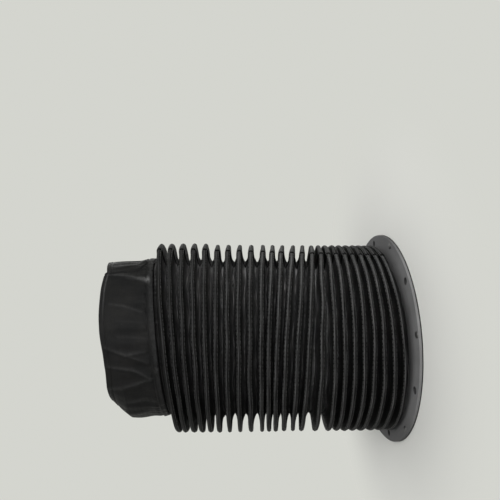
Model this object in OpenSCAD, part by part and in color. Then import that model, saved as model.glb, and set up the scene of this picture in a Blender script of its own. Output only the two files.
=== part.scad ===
// Round telescopic cover: a pleated cloth tube over wire support rings.
// It stands on its flange, with +Z along the tube and the soft cuff on top.
// The origin is the centre of the flange's underside. Millimetres and degrees.

/* [Folds] */
// Number of folds, each with a wire ring in its crest
fold_n = 24; // [4:1:32]
// Outside diameter over the fold crests
fold_od = 190; // [180:1:196]
// Inside diameter, measured between the valleys
bore_d = 153; // [120:1:155]
// Half width of a valley's floor
valley_w = 0.8; // [0.6:0.1:1.2]
// How loosely the folds stand in the rest shape: 0 is pressed together
looseness = 1; // [0.8:0.05:2]

/* [Cloth] */
// Thickness of the coated cloth
cloth_t = 0.6; // [0.4:0.1:0.9]
// Where the tube's lap seam runs, as an angle about the axis
seam_angle = -31; // [-80:1:-10]
// How far the seam's upper layer stands proud
seam_lift = 1; // [0.4:0.1:1.4]
// Angle over which that layer comes back down to the tube
seam_spread = 11; // [6:1:12]

/* [Support rings] */
// Wire diameter of a support ring
wire_d = 2.5; // [1.5:0.1:3]
// Clearance between a wire and the cloth round it
wire_gap = 0.3; // [0.2:0.1:0.6]

/* [Rest shape] */
// Sideways lean of the relaxed tube, towards +X
lean_x = 2.3; // [0:0.1:2.6]
// Backward lean of the relaxed tube, towards +Y
lean_y = 1.7; // [0:0.1:2.6]
// Share of the uneven fold tilts that is kept: 0 makes every fold level
tilt_share = 1; // [0:0.05:1.1]

/* [Flange] */
// Outside diameter of the flange
flange_od = 212; // [204:1:260]
// Thickness of the stiff flange plate
plate_t = 2.5; // [1.5:0.1:6]
// Thickness of the soft flange ring under the plate
base_t = 0.8; // [0.5:0.1:2]
// Clearance between the plate's bore and the cloth neck
neck_gap = 0.4; // [0.2:0.1:0.8]
// Bevel along the plate's edges
plate_bevel = 0.4; // [0.2:0.1:0.7]
// Diameter of the bolt circle
bolt_pcd = 196; // [190:1:198]
// Number of bolt holes
bolt_n = 6; // [4:1:12]
// Bolt hole diameter
bolt_d = 6.4; // [4:0.1:7]
// Diameter of the rivets between the bolt holes
rivet_d = 3.2; // [2:0.1:4]
// Clearance round a rivet's shank
rivet_gap = 0.05; // [0.02:0.01:0.1]
// Height of a rivet's domed head
rivet_head_h = 1; // [0.6:0.1:2]

/* [Cuff] */
// Outside diameter of the soft cuff
cuff_d = 158; // [156:1:164]
// Length of the cuff from its neck to its rim
cuff_len = 54; // [30:1:90]
// Thickness of the cuff's doubled cloth
cuff_t = 1.2; // [0.8:0.1:1.6]
// Clearance between the cuff and the neck inside it
cuff_gap = 0.3; // [0.2:0.1:0.5]
// Distance from the top fold to the neck
neck_rise = 5; // [4:0.5:12]
// Width of the sewn band round the neck
band_w = 6; // [4:0.5:12]
// Thickness of the sewn band
band_t = 1; // [0.6:0.1:1.6]
// How far the slack rim falls in on its low side
rim_dent = 19; // [0:1:30]

/* [Hidden] */
RINGS = [for (i = [1:fold_n]) str("support_ring_", i < 10 ? "0" : "", i)];
$fn = 96;

// Cloth facets round the tube, and along the cuff
SKIN_SEG = 30;
CUFF_STEP = 8;

// How far a cutter passes each face of what it cuts
CUT = 1;

// The cuff narrows by CUFF_TAPER at its rim and bulges in three places by CUFF_WAVE.
// Its dent starts at a share of the length, and DENT_WIDTH is half its angle
CUFF_TAPER = 3;
CUFF_WAVE = 1.2;
DENT_START = 0.55;
DENT_WIDTH = 48;

// Slack between touching folds, and fold tilts, as [fold counted from the flange, value]
SLACK = [[1, 0.6], [2, 1.4], [4, 1.3], [5, 2.1], [9, 1.9], [12, 3.6], [13, 3.4],
    [14, 2.1], [15, 2.1], [16, 5.7], [19, 5.4], [20, 4.1], [23, 3.6], [24, 2.7]];
SIDE_TILT = [[1, 1.5], [4, -1.5], [8, -2.5], [10, -6.5], [12, -6], [15, -3], [19, -1.5], [24, 4]];
FRONT_TILT = [[1, 1.5], [6, 5], [12, 9.5], [18, 4], [24, 2]];

crest_r = fold_od / 2;
crest_h = wire_d / 2 + wire_gap + cloth_t;
valley_r = bore_d / 2 + cloth_t;
facet_sag = crest_r * (1 - cos(180 / SKIN_SEG));
wire_r = crest_r - cloth_t - wire_gap - facet_sag - wire_d / 2;
flange_top = base_t + plate_t;
rivet_head_d = 2 * rivet_d;
rivet_pcd = flange_od - 2 * rivet_head_d + rivet_d;
cuff_bore_r = cuff_d / 2 - cuff_t;
neck_r = cuff_bore_r * cos(180 / SKIN_SEG) - cuff_gap;
foot_lap = 3 * cloth_t;

// Tilt of a fold as [front edge up, +X edge up]
function tilt_of(i) = tilt_share * [lookup(i, FRONT_TILT), lookup(i, SIDE_TILT)];

// Spacing of a fold from the one below: touching, plus the spread of their tilts, plus slack
function spread_of(i) = crest_r * sin(norm(tilt_of(i) - (i == 1 ? [0, 0] : tilt_of(i - 1))));
function spacing(i) = (i == 1 ? crest_h : 2 * crest_h) + spread_of(i)
    + looseness * lookup(i, SLACK);
FOLD_Z = [for (i = 1, z = flange_top + spacing(1); i <= fold_n; i = i + 1, z = z + spacing(i)) z];
top_tilt = tilt_of(fold_n);
neck_z = FOLD_Z[fold_n - 1] + crest_h + neck_rise;

// The leaning centre line of the relaxed tube
function centre(z) = [z * tan(lean_x), z * tan(lean_y), z];

// A point turned by a fold's tilt, as rotate() turns the wire rings
function turned(p, tilt) =
    let (a = -tilt[0], b = -tilt[1],
        y = p[1] * cos(a) - p[2] * sin(a),
        z = p[1] * sin(a) + p[2] * cos(a))
    [p[0] * cos(b) + z * sin(b), y, -p[0] * sin(b) + z * cos(b)];

// Angles round the tube: even steps, with one more where the lap seam ends
ANGLES = concat([seam_angle - 1],
    [for (k = [0:SKIN_SEG - 1]) seam_angle + k * (360 - 1) / SKIN_SEG]);
function lift(a) =
    a < seam_angle ? 0 : seam_lift * max(0, 1 - (a - seam_angle) / seam_spread);

// A station is [height of its centre, tilt, radius, offset along the tilted axis, share of the
// lap seam's lift]
function outline(station, inner) = [for (a = ANGLES)
    let (r = station[2] + (inner ? 0 : station[4] * lift(a)))
    centre(station[0]) + turned([r * cos(a), r * sin(a), station[3]], station[1])];

// One sheet of cloth: outside stations going up, inside stations coming down
function sheet_points(outside, inside) = concat(
    [for (s = outside) each outline(s, false)],
    [for (k = [len(inside) - 1:-1:0]) each outline(inside[k], true)]);
function sheet_faces(rows, n) = [for (j = [0:rows - 1]) for (k = [0:n - 1])
    let (up = (j + 1) % rows, right = (k + 1) % n) each [
        [j * n + k, up * n + k, up * n + right],
        [j * n + k, up * n + right, j * n + right]]];

module sheet(outside, inside) {
    polyhedron(sheet_points(outside, inside),
        sheet_faces(len(outside) + len(inside), len(ANGLES)), convexity = 10);
}

// Stations of the pleats. t is 0 for the outer face of the cloth and its thickness for the inner
function pleats(t) = [for (i = [1:fold_n]) each concat(
    i == 1 ? [] :
        let (z = (FOLD_Z[i - 2] + FOLD_Z[i - 1]) / 2, lean = (tilt_of(i - 1) + tilt_of(i)) / 2)
        [[z, lean, valley_r - t, -valley_w - t, 1], [z, lean, valley_r - t, valley_w + t, 1]],
    [[FOLD_Z[i - 1], tilt_of(i), crest_r - t, -crest_h + t, 1],
        [FOLD_Z[i - 1], tilt_of(i), crest_r - t, crest_h - t, 1]])];

// The whole tube. Its seam is pressed flat inside the plate's bore and inside the cuff
function skin_stations(t) = concat(
    [[base_t, [0, 0], valley_r - t, 0, 0],
        [flange_top + neck_gap - t, [0, 0], valley_r - t, 0, 0]],
    pleats(t),
    [[neck_z, top_tilt, neck_r - t, -t, 0], [neck_z, top_tilt, neck_r - t, band_w, 0]]);

// The pleated tube, folded from one piece of coated cloth
module bellows_skin() {
    color([0.08, 0.08, 0.085])
        sheet(skin_stations(0), skin_stations(cloth_t));
}

// A spring-steel ring inside the crest of fold i
module support_ring(i) {
    color([0.62, 0.63, 0.65])
        translate(centre(FOLD_Z[i - 1]))
            rotate([-tilt_of(i)[0], -tilt_of(i)[1], 0])
                rotate_extrude()
                    translate([wire_r, 0]) circle(d = wire_d, $fn = 24);
}

module round_pattern(count, pcd, first) {
    for (k = [0:count - 1])
        rotate(first + k * 360 / count) translate([pcd / 2, 0, 0]) children();
}

// Holes through the whole flange, for the machine's bolts and for the rivets
module flange_holes() {
    bolt_step = 360 / bolt_n;
    translate([0, 0, -CUT]) {
        round_pattern(bolt_n, bolt_pcd, 0) cylinder(d = bolt_d, h = flange_top + 2 * CUT);
        round_pattern(bolt_n, rivet_pcd, bolt_step / 2)
            cylinder(d = rivet_d + 2 * rivet_gap, h = flange_top + 2 * CUT);
    }
}

// Flat ring of soft coated cloth, sewn to the tube's foot, which seals against the machine
module fabric_flange() {
    color([0.1, 0.1, 0.105])
        difference() {
            cylinder(d = flange_od, h = base_t);
            translate([0, 0, -CUT]) cylinder(r = valley_r - foot_lap, h = base_t + 2 * CUT);
            flange_holes();
        }
}

// Stiff grey ring that presses the soft flange down
module flange_plate() {
    r = flange_od / 2;
    bore_r = valley_r + neck_gap;
    color([0.38, 0.385, 0.39])
        difference() {
            rotate_extrude()
                polygon([[bore_r, base_t], [r - plate_bevel, base_t], [r, base_t + plate_bevel],
                    [r, flange_top - plate_bevel], [r - plate_bevel, flange_top],
                    [bore_r + plate_bevel, flange_top], [bore_r, flange_top - plate_bevel]]);
            flange_holes();
        }
}

// Flat rivets that hold the plate to the soft flange between the bolt holes
module flange_rivets() {
    head_r = rivet_head_d / 2;
    color([0.7, 0.7, 0.72])
        round_pattern(bolt_n, rivet_pcd, 180 / bolt_n)
            rotate_extrude()
                polygon([[0, 0], [rivet_d / 2, 0], [rivet_d / 2, flange_top], [head_r, flange_top],
                    [head_r * 0.9, flange_top + rivet_head_h * 0.5],
                    [head_r * 0.6, flange_top + rivet_head_h * 0.9],
                    [0, flange_top + rivet_head_h]]);
}

// Tape sewn round the joint of the tube and the cuff
module neck_band() {
    color([0.12, 0.12, 0.125])
        translate(centre(neck_z))
            rotate([-top_tilt[0], -top_tilt[1], 0])
                difference() {
                    cylinder(r = cuff_d / 2 + cuff_gap + band_t, h = band_w);
                    translate([0, 0, -CUT])
                        cylinder(r = cuff_d / 2 + cuff_gap, h = band_w + 2 * CUT);
                }
}

// The cuff stands straight under the band, and bends from there to the centre line at its rim
CUFF_FOOT = centre(neck_z) + turned([0, 0, band_w], top_tilt);
CUFF_END = centre(neck_z + cuff_len);

// The cuff's outside radius at angle a and share t above the band. It is round at the neck,
// tapers a little, and its slack rim falls in on the -X side
function cuff_fall(t) = pow(max(0, (t - DENT_START) / (1 - DENT_START)), 1.3);
function cuff_r(a, t) = cuff_d / 2 - CUFF_TAPER * pow(t, 3)
    - rim_dent * cuff_fall(t) * exp(-pow((a - 180) / DENT_WIDTH, 2))
    - CUFF_WAVE * sin(180 * t) * cos(3 * a);
function cuff_ring(t, thick) = [for (k = [0:SKIN_SEG - 1])
    let (a = k * 360 / SKIN_SEG, r = cuff_r(a, t) - thick)
    CUFF_FOOT + t * (CUFF_END - CUFF_FOOT)
        + turned([r * cos(a), r * sin(a), 0], top_tilt * (1 - t))];
function cuff_base(thick) = [for (k = [0:SKIN_SEG - 1])
    let (a = k * 360 / SKIN_SEG, r = cuff_d / 2 - thick)
    centre(neck_z) + turned([r * cos(a), r * sin(a), 0], top_tilt)];

// Loose sleeve that slips over a machine spigot and is clamped there
module cuff_sleeve() {
    points = concat(cuff_base(0),
        [for (j = [0:CUFF_STEP]) each cuff_ring(j / CUFF_STEP, 0)],
        [for (j = [CUFF_STEP:-1:0]) each cuff_ring(j / CUFF_STEP, cuff_t)],
        cuff_base(cuff_t));
    color([0.09, 0.09, 0.095])
        polyhedron(points, sheet_faces(2 * CUFF_STEP + 4, SKIN_SEG), convexity = 6);
}

fabric_flange();
flange_plate();
flange_rivets();
bellows_skin();
for (i = [1:fold_n]) support_ring(i);
neck_band();
cuff_sleeve();
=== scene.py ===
# %% [markdown]
# # A pleated telescopic cover
#
# This lesson dresses a round bellows: a tube of black coated cloth over wire rings, with a grey
# flange on one end and a loose cuff on the other. It slides over a rod or a ball screw and keeps the
# swarf off it. The stiff pieces come from the CAD model and keep their shape. The cloth is made again
# here, because a CAD solid has no gathers, creases, hems or stitches.
#
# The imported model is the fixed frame, in metres. It stands on its flange, with +Z along the tube.

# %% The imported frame
from math import cos, pi, radians, sin, sqrt, tau

import bpy
import numpy as np
from mathutils import Matrix, Vector


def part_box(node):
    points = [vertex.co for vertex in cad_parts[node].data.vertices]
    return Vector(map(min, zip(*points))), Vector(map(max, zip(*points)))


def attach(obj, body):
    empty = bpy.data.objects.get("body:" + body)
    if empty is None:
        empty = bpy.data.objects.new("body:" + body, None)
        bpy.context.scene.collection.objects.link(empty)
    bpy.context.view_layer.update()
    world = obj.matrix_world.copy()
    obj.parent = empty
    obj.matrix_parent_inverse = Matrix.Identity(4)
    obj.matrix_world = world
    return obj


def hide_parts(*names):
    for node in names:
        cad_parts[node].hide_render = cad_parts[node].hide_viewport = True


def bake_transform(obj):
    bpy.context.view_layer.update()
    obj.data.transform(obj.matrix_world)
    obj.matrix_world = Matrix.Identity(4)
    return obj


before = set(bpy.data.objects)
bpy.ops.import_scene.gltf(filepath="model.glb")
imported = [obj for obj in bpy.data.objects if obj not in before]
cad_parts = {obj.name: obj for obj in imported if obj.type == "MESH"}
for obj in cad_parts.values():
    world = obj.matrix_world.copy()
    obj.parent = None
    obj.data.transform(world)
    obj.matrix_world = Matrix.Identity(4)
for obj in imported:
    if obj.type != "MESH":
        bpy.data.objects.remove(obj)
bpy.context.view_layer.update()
MM = 0.001
FOLDS = sum(name.startswith("support_ring_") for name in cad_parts)

# %% [markdown]
# ## The camera
#
# In the photograph the cover lies on its side, and here it stands on its flange. So the camera is
# rolled by a quarter turn: its "up" looks along +X and the cuff is on the left. The numbers come from
# fitting one camera to the tips of all the folds. The columns of its matrix are its right, its up and
# the opposite of its view.

# %% Camera
CAMERA_AT = (0.00296, -0.59848, 0.19181)
CAMERA_RIGHT = (-0.044533, -0.083132, -0.995543)
CAMERA_UP = (0.987289, -0.155852, -0.031150)
CAMERA_LOOK = (0.152568, 0.984276, -0.089015)
SENSOR, LENS = 36.0, 41.43
NEAREST, FARTHEST = 0.01, 50


def placed(name, data):
    """A new object that holds a camera, a lamp or a mesh, linked to the scene."""
    thing = bpy.data.objects.new(name, data)
    bpy.context.scene.collection.objects.link(thing)
    return thing


camera = placed("camera", bpy.data.cameras.new("camera"))
camera.data.sensor_width, camera.data.lens = SENSOR, LENS
camera.data.clip_start, camera.data.clip_end = NEAREST, FARTHEST
turn = Matrix((CAMERA_RIGHT, CAMERA_UP, tuple(-x for x in CAMERA_LOOK))).transposed().to_4x4()
camera.matrix_world = Matrix.Translation(CAMERA_AT) @ turn
bpy.context.scene.camera = camera
print("camera at", CAMERA_AT, "lens", LENS)

# %% [markdown]
# ## Floor, world and lamps
#
# The floor and the world show the photograph's plain pale background to the camera and to
# reflections. Only close to the flange does the floor take real light, so that the shadow stays. The
# world's own light is stronger from +X, the side that was up, than from the ground's side.
#
# The lamps are big soft boxes, because black cloth shows its form through broad highlights. Two
# stand low in front, so that they reach the sides of the folds that face the flange.

# %% Node helpers
def add(tree, kind, *inputs, out=0, **named):
    """Adds a node and returns one of its outputs. The inputs are fed in order, and a named value sets
    the property or feeds the input of that name. An output of another node becomes a link."""
    node = tree.nodes.new("ShaderNode" + kind)
    for name in [name for name in named if name in node.bl_rna.properties]:
        setattr(node, name, named.pop(name))
    fed = list(zip(node.inputs, inputs))
    fed += [(node.inputs[name.replace("_", " ")], value) for name, value in named.items()]
    for socket, value in fed:
        if isinstance(value, bpy.types.NodeSocket):
            tree.links.new(value, socket)
        elif value is not None:
            socket.default_value = value
    return node.outputs[out] if len(node.outputs) else None


def calc(tree, operation, *values):
    """The result of one Math node."""
    return add(tree, "Math", *values, operation=operation)


def empty_tree(owner):
    """The node tree of a material or of the world, emptied."""
    owner.use_nodes = True
    owner.node_tree.nodes.clear()
    return owner.node_tree


print("node helpers ready")

# %% Floor and world
BACKDROP = (0.658, 0.665, 0.622, 1.0)
FLOOR_ALBEDO = (0.860, 0.865, 0.820, 1.0)
FLOOR_SIZE = 12.0
FADE_FROM, FADE_TO = 0.11, 0.25
LIGHT_BELOW, LIGHT_ABOVE = 0.12, 0.56


def background_ray(tree):
    """1 for a ray from the camera, off gloss or through glass, and 0 for light that falls on things."""
    path = add(tree, "LightPath").node.outputs
    either = calc(tree, "MAXIMUM", path["Is Camera Ray"], path["Is Glossy Ray"])
    return calc(tree, "MAXIMUM", either, path["Is Transmission Ray"])


def make_floor():
    """One big square under the flange. Its material goes from lit floor to plain colour by distance."""
    half = FLOOR_SIZE / 2
    mesh = bpy.data.meshes.new("floor")
    mesh.from_pydata([(-half, -half, 0), (half, -half, 0), (half, half, 0), (-half, half, 0)],
                     [], [(0, 1, 2, 3)])
    floor = placed("floor", mesh)
    mesh.materials.append(bpy.data.materials.new("floor"))
    tree = empty_tree(mesh.materials[0])
    place = add(tree, "TexCoord", out="Object")
    away = add(tree, "VectorMath", place, operation="LENGTH", out="Value")
    fade = add(tree, "MapRange", away, FADE_FROM, FADE_TO, interpolation_type="SMOOTHSTEP")
    share = calc(tree, "MULTIPLY", fade, background_ray(tree))
    lit, plain = add(tree, "BsdfDiffuse", FLOOR_ALBEDO), add(tree, "Emission", BACKDROP, 1.0)
    add(tree, "OutputMaterial", add(tree, "MixShader", share, lit, plain))


def make_world():
    """The plain colour for the camera, and for all else a soft light graded along X."""
    world = bpy.data.worlds.new("studio")
    bpy.context.scene.world = world
    tree = empty_tree(world)
    toward = add(tree, "SeparateXYZ", add(tree, "TexCoord", out="Generated"))
    graded = add(tree, "MapRange", toward, -1, 1, LIGHT_BELOW, LIGHT_ABOVE)
    light = add(tree, "Background", (1, 1, 1, 1), graded)
    plain = add(tree, "Background", BACKDROP, 1.0)
    add(tree, "OutputWorld", add(tree, "MixShader", background_ray(tree), light, plain))


make_floor()
make_world()
bpy.context.scene.view_settings.view_transform = "Standard"
print("floor of", FLOOR_SIZE, "m and world ready")

# %% Lamps
TUBE_MIDDLE = (0.005, 0.0, 0.14)
SOFT_BOXES = [  # name, place, size, power in watts
    ("key", (0.30, -0.95, 0.70), 0.6, 4.5),
    ("front", (0.22, -1.28, 0.15), 0.5, 6.4),
    ("side", (0.80, -0.80, 0.13), 0.4, 2.0),
    ("over", (-0.10, -0.25, 1.30), 0.9, 2.0),
    ("back", (0.20, 1.05, 0.50), 1.0, 5.0),
]


def soft_box(name, place, size, power):
    """A square area lamp that faces the middle of the tube."""
    data = bpy.data.lights.new(name, "AREA")
    data.shape, data.size, data.energy = "SQUARE", size, power
    lamp = placed(name, data)
    toward = np.array(TUBE_MIDDLE) - np.array(place)
    lamp.rotation_mode = "QUATERNION"
    lamp.rotation_quaternion = Vector(toward).to_track_quat("-Z", "Y")
    lamp.location = place


for box in SOFT_BOXES:
    soft_box(*box)
print(len(SOFT_BOXES), "lamps")

# %% [markdown]
# ## Grids of points
#
# Every piece of cloth is one grid: one direction goes round the tube and the other along the cloth.
# numpy works out the whole grid at once, and each little square of it becomes a face. The UV map is
# in metres of cloth, so that a weave follows the folds. What else a material needs, such as how pale
# the crest line is, rub and painted highlight together, is kept on the points as an attribute.

# %% Grid to mesh
def cloth_piece(name, points, faces, uv):
    """An object with smooth faces and a UV map named cloth, which has a pair per face corner."""
    mesh = bpy.data.meshes.new(name)
    mesh.from_pydata(points.reshape(-1, 3).tolist(), [], faces.reshape(-1, 4).tolist())
    mesh.uv_layers.new(name="cloth").data.foreach_set("uv", uv.reshape(-1).astype(np.float32))
    mesh.polygons.foreach_set("use_smooth", np.ones(len(mesh.polygons), bool))
    mesh.update()
    return placed(name, mesh)


def grid_mesh(name, points, round_m, along_m, marks=None, sharp_rows=()):
    """Quads over points[row, column], closed both ways. u is the distance round and v the distance
    along the cloth. marks are named numbers per point, and without them "crest" is 0."""
    rows, cols = points.shape[:2]
    marks = marks or {"crest": np.zeros((rows, cols))}
    i, j = np.arange(rows)[:, None], np.arange(cols)[None, :]
    low, high = i * cols, (i + 1) % rows * cols
    quads = np.stack([low + j, low + (j + 1) % cols, high + (j + 1) % cols, high + j], -1)
    u = np.append(round_m, 2 * round_m[-1] - round_m[-2])
    v = np.append(along_m, along_m[-1] + abs(along_m[-1] - along_m[-2]))
    here = np.stack(np.broadcast_arrays(u[None, :], v[:, None]), -1)
    uv = np.stack([here[:-1, :-1], here[:-1, 1:], here[1:, 1:], here[1:, :-1]], 2)
    piece = cloth_piece(name, points, quads, uv)
    mesh = piece.data
    if len(sharp_rows):
        ends = np.empty(2 * len(mesh.edges), np.int32)
        mesh.edges.foreach_get("vertices", ends)
        row = ends.reshape(-1, 2) // cols
        sharp = (row[:, 0] == row[:, 1]) & np.isin(row[:, 0], sharp_rows)
        mesh.attributes.new("sharp_edge", "BOOLEAN", "EDGE").data.foreach_set("value", sharp)
    for mark, values in marks.items():
        mesh.attributes.new(mark, "FLOAT", "POINT").data.foreach_set(
            "value", np.ascontiguousarray(values, np.float32).reshape(-1))
    mesh.update()
    return piece


print("mesh helpers ready")

# %% Directions and waves
def unit(vectors):
    """Vectors divided by their own lengths."""
    return vectors / np.linalg.norm(vectors, axis=-1, keepdims=True)


def outward(points):
    """Surface directions of a grid: the step round crossed with the step along the cloth."""
    step_round = np.roll(points, -1, 1) - np.roll(points, 1, 1)
    return unit(np.cross(step_round, np.gradient(points, axis=0)))


def smooth(t):
    """The soft step 3t^2 - 2t^3, held at 0 and 1 outside the range."""
    t = np.clip(t, 0, 1)
    return t * t * (3 - 2 * t)


def full_circle(count):
    """Angles at even steps, once round."""
    return np.linspace(0, tau, count, endpoint=False)


def on_circle(radius, turn):
    """x and y of the points at these angles on a circle about the axis."""
    return radius * np.stack([np.cos(turn), np.sin(turn)], -1)


def bell(away, wide):
    """The bell curve exp(-(away / wide)^2)."""
    return np.exp(-(away / wide) ** 2)


def ripple(angle, fewest, most, size, seed, count=8):
    """Waves round the tube: a sum of sines with whole wave numbers between fewest and most, and random
    sizes and phases. Its typical height is size."""
    rng = np.random.default_rng(seed)
    total = np.zeros_like(angle)
    weights = rng.uniform(0.4, 1.0, count)
    for weight in weights:
        total = total + weight * np.sin(rng.integers(fewest, most + 1) * angle
                                        + rng.uniform(0, tau))
    return size * total / sqrt((weights ** 2).sum() / 2)


print("grid helpers ready")

# %% [markdown]
# ## Where the rings are
#
# A wire ring sits in every fold. The middle of its CAD node's box is the ring's centre, and the
# direction in which its points spread least is its axis. The lap seam, where the flat strip of cloth
# was closed to a tube, runs along the folds with a slow twist. The columns of the grids follow the
# seam, so that its step stays crisp.

# %% Ring frames
CREST_R, WIRE_R = 95 * MM, 92.33 * MM
COLUMNS, SEAM_COLUMNS = 400, [359.4, 359.85, 0.3, 0.55]
SEAM_AT_FLANGE, SEAM_AT_CUFF = radians(-35), radians(-27.5)
X, Y, UP = np.eye(3)


def node_points(name):
    """All the corner points of a CAD node, as an array."""
    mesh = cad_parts[name].data
    flat = np.empty(3 * len(mesh.vertices), np.float32)
    mesh.vertices.foreach_get("co", flat)
    return flat.reshape(-1, 3).astype(float)


def ring_frame(name):
    """[centre, axis, side, other side] of a wire ring, its side as near +X as the tilt allows."""
    points = node_points(name)
    centre = (points.min(0) + points.max(0)) / 2
    axis = np.linalg.svd(points - centre, full_matrices=False)[2][2]
    axis *= np.sign(axis[2])
    side = unit(X - axis[0] * axis)
    return np.stack([centre, axis, side, np.cross(axis, side)])


rings = [ring_frame(f"support_ring_{k + 1:02d}") for k in range(FOLDS)]
top_ring = rings[-1]
heights = np.array([ring[0][2] for ring in rings])
print("ring heights in mm", np.round(heights / MM, 1))

# %% Columns that follow the seam
steps = np.append(np.linspace(0, 360, COLUMNS, endpoint=False), SEAM_COLUMNS)
FROM_SEAM = np.radians(np.sort(steps))
ROUND_M = FROM_SEAM * CREST_R
EVEN = np.ones(len(FROM_SEAM))
BELOW_SEAM = 360 - np.degrees(FROM_SEAM)
SEAM_SHADE = np.interp(BELOW_SEAM, [0, 0.2, 0.9, 359.1, 359.6, 360], [1, 1, 0, 0, 1, 1])


def seam_angle(height):
    """The lap seam's angle about the tube, which changes evenly with height."""
    share = (height - heights[0]) / (heights[-1] - heights[0])
    return SEAM_AT_FLANGE + share * (SEAM_AT_CUFF - SEAM_AT_FLANGE)


def spokes(station):
    """Unit directions out from a station's centre, one per column, in the station's own plane."""
    angle = FROM_SEAM + seam_angle(station[0][2])
    return np.cos(angle)[:, None] * station[2] + np.sin(angle)[:, None] * station[3]


def between(lower, upper, share, radius):
    """Points between two stations: centres and spokes are mixed by share, and radius goes out along
    the mixed spoke."""
    middle = lower[0] + share[..., None] * (upper[0] - lower[0])
    spoke = unit(spokes(lower) + share[..., None] * (spokes(upper) - spokes(lower)))
    return middle + radius[..., None] * spoke


def pitch(lower, upper, radius):
    """Distance between two stations at each column and radius."""
    gap = (upper[0] - lower[0]) + radius[..., None] * (spokes(upper) - spokes(lower))
    return np.linalg.norm(gap, axis=-1)


print(len(FROM_SEAM), "columns")

# %% [markdown]
# ## The pleats
#
# In section, a pleat is a letter U between two wires. Round each wire it is half an ellipse, and the
# valley is part ellipse and part V, because coated cloth won't crease to a sharp line there.
#
# Each pleat is a piece of its own, from the top of one crest to the top of the next. Neighbours
# share the same points and the same direction of light at the crest, so the join can't be seen.

# %% Section of a pleat
CREST_H = 2.1 * MM
VALLEY_R = 77.3 * MM
CREST_TURN = np.radians([0, 4, 18, 34, 50, 68])
WALL = np.linspace(0, 1, 22)[1:] ** 1.2


def wall_shape(t):
    """Share of the way to the valley's middle at share t of the wall: part ellipse, part V."""
    return 0.5 * (1 - np.cos(t * pi / 2)) + 0.5 * np.sin(t * pi / 2) ** 2.4


def crest_radius(turn):
    """Radius of the cloth at an angle round the wire, which is a quarter of an ellipse."""
    return WIRE_R + (CREST_R - WIRE_R) * cos(turn)


def half_section(valley_r):
    """Rows from the crest's top to the valley: (distance from the ring's plane, share of the half
    pitch, radius)."""
    rows = [(CREST_H * sin(a), 0.0, crest_radius(a) + 0 * valley_r) for a in CREST_TURN]
    for t in WALL:
        drop = sin(t * pi / 2)
        rows.append((CREST_H, wall_shape(t), WIRE_R + (valley_r - WIRE_R) * drop))
    return rows


print("section of", 2 * (len(CREST_TURN) + len(WALL)) - 1, "rows")

# %% [markdown]
# ## Pale crests
#
# Crests go grey where they rub, and the same pale line carries a painted highlight. It lies to the
# cuff's side, the side the light comes from, and it is broad near the seam, where the cloth is
# doubled. A thin broken line beside it is a weaker second line of the same kind.

# %% Pale line and sway of a crest
# The pale line on each crest is rub and a painted highlight in one; it is shifted towards the cuff, the
# side the light comes from.
CREST_HIGHLIGHT_SHIFT, CREST_LINE_WIDE, CREST_LINE_NARROW, CREST_LINE_DOUBLED = 0.34, 0.27, 0.25, 0.50
SECOND_CREST_LINE, SECOND_AT, SECOND_WIDE = 0.27, -0.36, 0.26
DOUBLED_BELOW, DOUBLED_ABOVE = 26, 34
CAPS_FROM = 7
SWAY_OUT, SWAY_SIDE = 0.09 * MM, 0.20 * MM
SLACK_TOP, SLACK_RINGS, SLACK_WIDE = 1.5 * MM, 5, radians(30)


def to_cuff(number, start, here, there):
    """A value that is the same up to the ring start and then changes evenly to the last ring."""
    return np.interp(number, [start, FOLDS - 1], [here, there])


def rub_and_highlight(a, number):
    """How pale the cloth over a wire is at distance a from its plane, rub and painted highlight in one:
    one hump, wider where the cloth is doubled below and above the seam, and the second broken line."""
    off = a / CREST_H
    doubled = bell(BELOW_SEAM, DOUBLED_BELOW) * to_cuff(number, 12, 1, 0.2)
    doubled = np.maximum(doubled, bell(360 - BELOW_SEAM, DOUBLED_ABOVE) * (number >= CAPS_FROM))
    width = to_cuff(number, 10, CREST_LINE_WIDE, CREST_LINE_NARROW) + CREST_LINE_DOUBLED * doubled
    shift = to_cuff(number, 14, CREST_HIGHLIGHT_SHIFT, 0.1) * (1 - 0.8 * doubled)
    hump = np.maximum(0, 1 - ((off - shift) / width) ** 2) ** 1.2
    broken = np.clip(0.65 + ripple(FROM_SEAM, 5, 22, 0.35, 700 + number), 0, 1)
    second = SECOND_CREST_LINE * to_cuff(number, 14, 1, 0.35)
    return np.maximum(hump, second * broken * bell(off - SECOND_AT, SECOND_WIDE))


def crest_sway(number):
    """How far the cloth over a wire strays outwards and along the axis. On the last rings before the
    cuff it hangs slack on the +X side and stands off the wire."""
    out = ripple(FROM_SEAM, 3, 16, SWAY_OUT, 100 + number)
    if number >= FOLDS - SLACK_RINGS:
        turn = FROM_SEAM + seam_angle(rings[number][0][2])
        out = out + SLACK_TOP * bell((turn + pi) % tau - pi, SLACK_WIDE)
    side = ripple(FROM_SEAM, 2, 11, SWAY_SIDE, 300 + number)
    return out[:, None], side[:, None]


print("crest 1 strays up to", round(float(abs(crest_sway(0)[1]).max() / MM), 2), "mm")

# %% [markdown]
# ## Creases, tucks and gathers
#
# The cloth is stretched over the wires and takes up its spare width in the valleys: in long slanting
# creases, short tucks below the seam, and fine upright gathers on the valley floor. They are heights
# that are added to the grid, because a bump in a material would leave the outline smooth.

# %% Creases
# The second number is how much raised creases are painted pale: rub and painted highlight.
CREASES_EACH, CREASE_PALE = 30, 0.8
CREASE_REACH, CREASE_DRIFT = (0.10, 0.42), 0.012
CREASE_WIDE, CREASE_HIGH = (0.8, 1.4), (0.35, 0.8)
TUCK_REACH, TUCK_WIDE, TUCK_HIGH = (11, 17, 25), 0.8 * MM, 1.1 * MM
GATHER_HIGH = 0.16 * MM
SEAM_LIFT, SEAM_FALL = 0.9 * MM, radians(13)


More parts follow.
